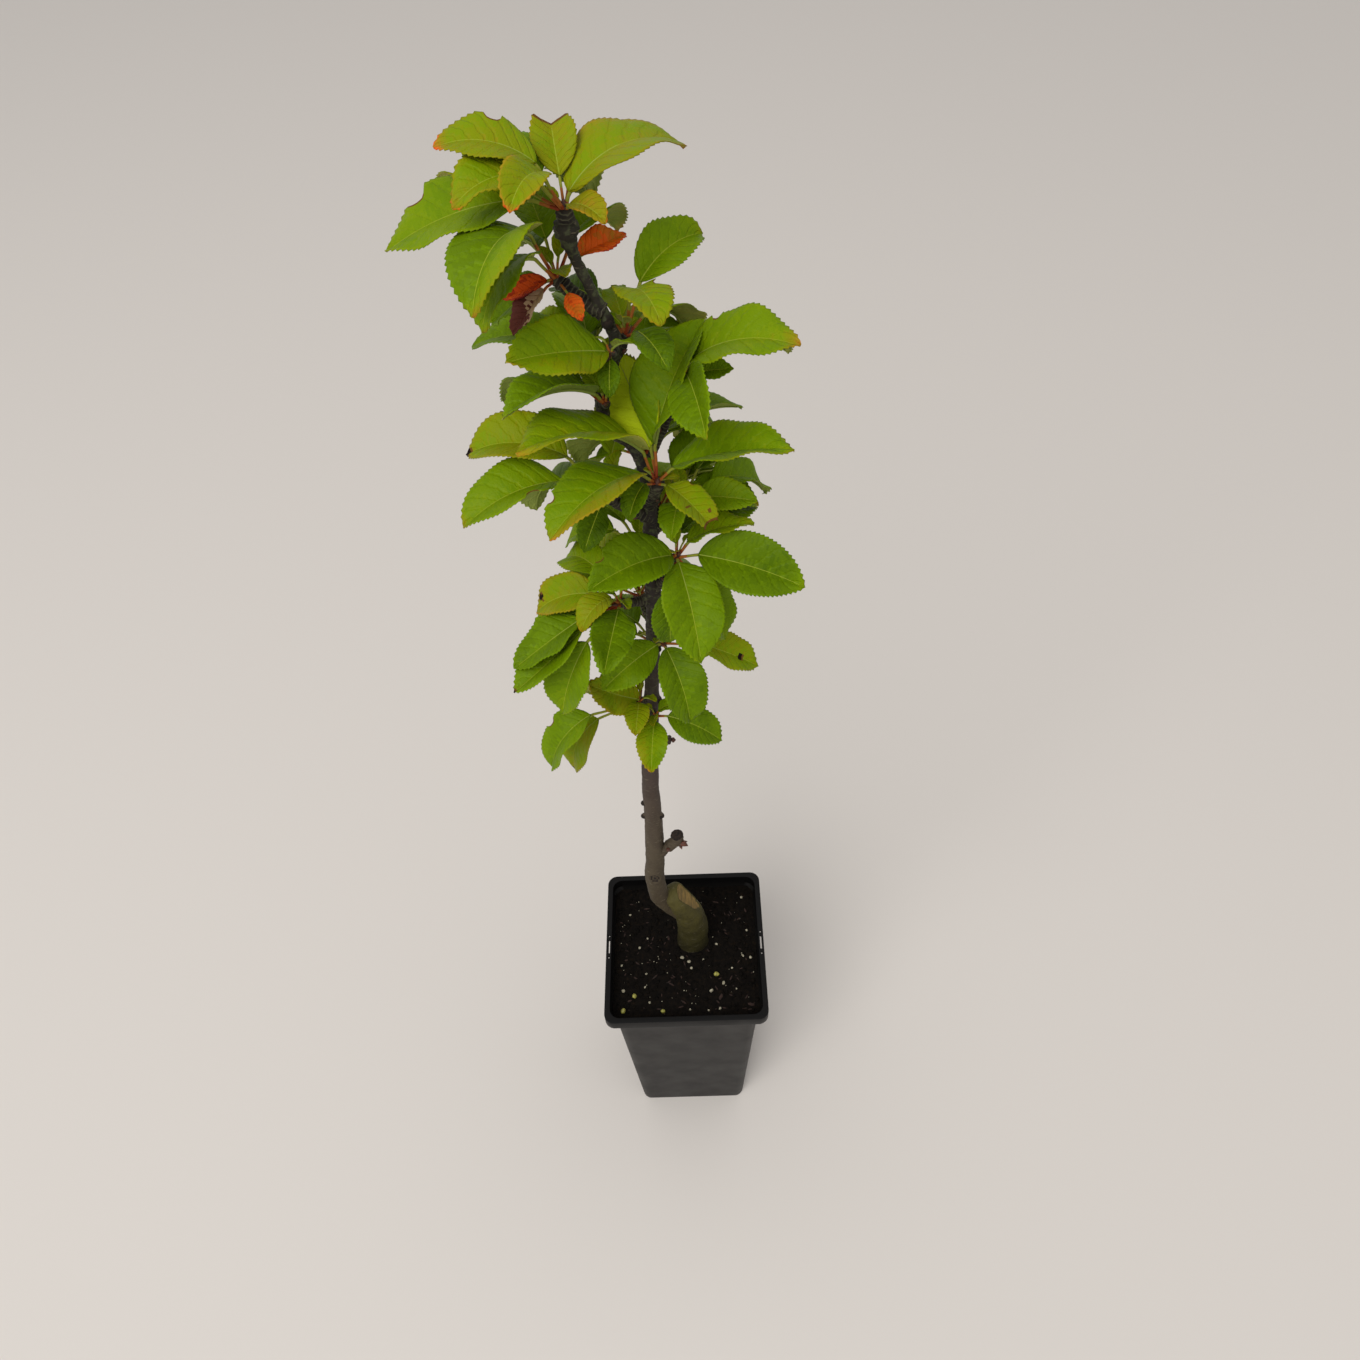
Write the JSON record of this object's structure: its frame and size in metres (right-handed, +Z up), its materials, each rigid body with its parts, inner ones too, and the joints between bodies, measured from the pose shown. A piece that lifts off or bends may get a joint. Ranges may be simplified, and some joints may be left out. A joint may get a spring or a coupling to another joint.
{
  "type": "potted columnar cherry tree",
  "caption": "Small grafted columnar fruit tree with an upright stem, short spurs and rosettes of drooping toothed leaves, standing in a deep square nursery pot.",
  "frame": {"origin": "centre of the flat underside of the pot", "axes": "+Z up along the stem, -Y towards the front of the tree, +X to its right as seen from the front"},
  "size_m": [0.1673, 0.139, 0.8703],
  "materials": {
    "pot": "moulded black polypropylene, matte, lightly scuffed",
    "soil": "damp peat compost with grains of white perlite",
    "bark": "smooth grey-brown young bark with lenticels and pruning scars",
    "spur_bark": "dark ringed bark of fruiting spurs",
    "leaf": "satin yellow-green leaf with autumn tints at its edge"
  },
  "bodies": {
    "root": {"pot": "pot", "soil": "soil", "trunk": "bark", "stub_branch_low": "bark", "stub_branch_short": "bark", "bough_side_spur": "spur_bark", "bough_back_right": "spur_bark", "bough_front": "spur_bark", "bough_left": "spur_bark", "bough_right_high": "spur_bark", "bough_right_middle": "spur_bark", "bough_right_low": "spur_bark", "bough_low_left": "spur_bark", "bough_rear_bottom": "spur_bark", "bough_rear_low": "spur_bark", "bough_rear_lower_middle": "spur_bark", "bough_rear_middle": "spur_bark", "bough_rear_upper_middle": "spur_bark", "bough_rear_high": "spur_bark", "leaves_crown_top": "leaf", "leaves_side_spur": "leaf", "leaves_back_right": "leaf", "leaves_upper_left": "leaf", "leaves_middle_left": "leaf", "leaves_front": "leaf", "leaves_left": "leaf", "leaves_right_high": "leaf", "leaves_right_middle": "leaf", "leaves_right_low": "leaf", "leaves_low_front": "leaf", "leaves_low_left": "leaf", "leaves_bottom_left": "leaf", "leaves_bottom_right": "leaf", "leaves_rear_bottom": "leaf", "leaves_rear_low": "leaf", "leaves_rear_lower_middle": "leaf", "leaves_rear_middle": "leaf", "leaves_rear_upper_middle": "leaf", "leaves_rear_high": "leaf"}
  },
  "joints": []
}
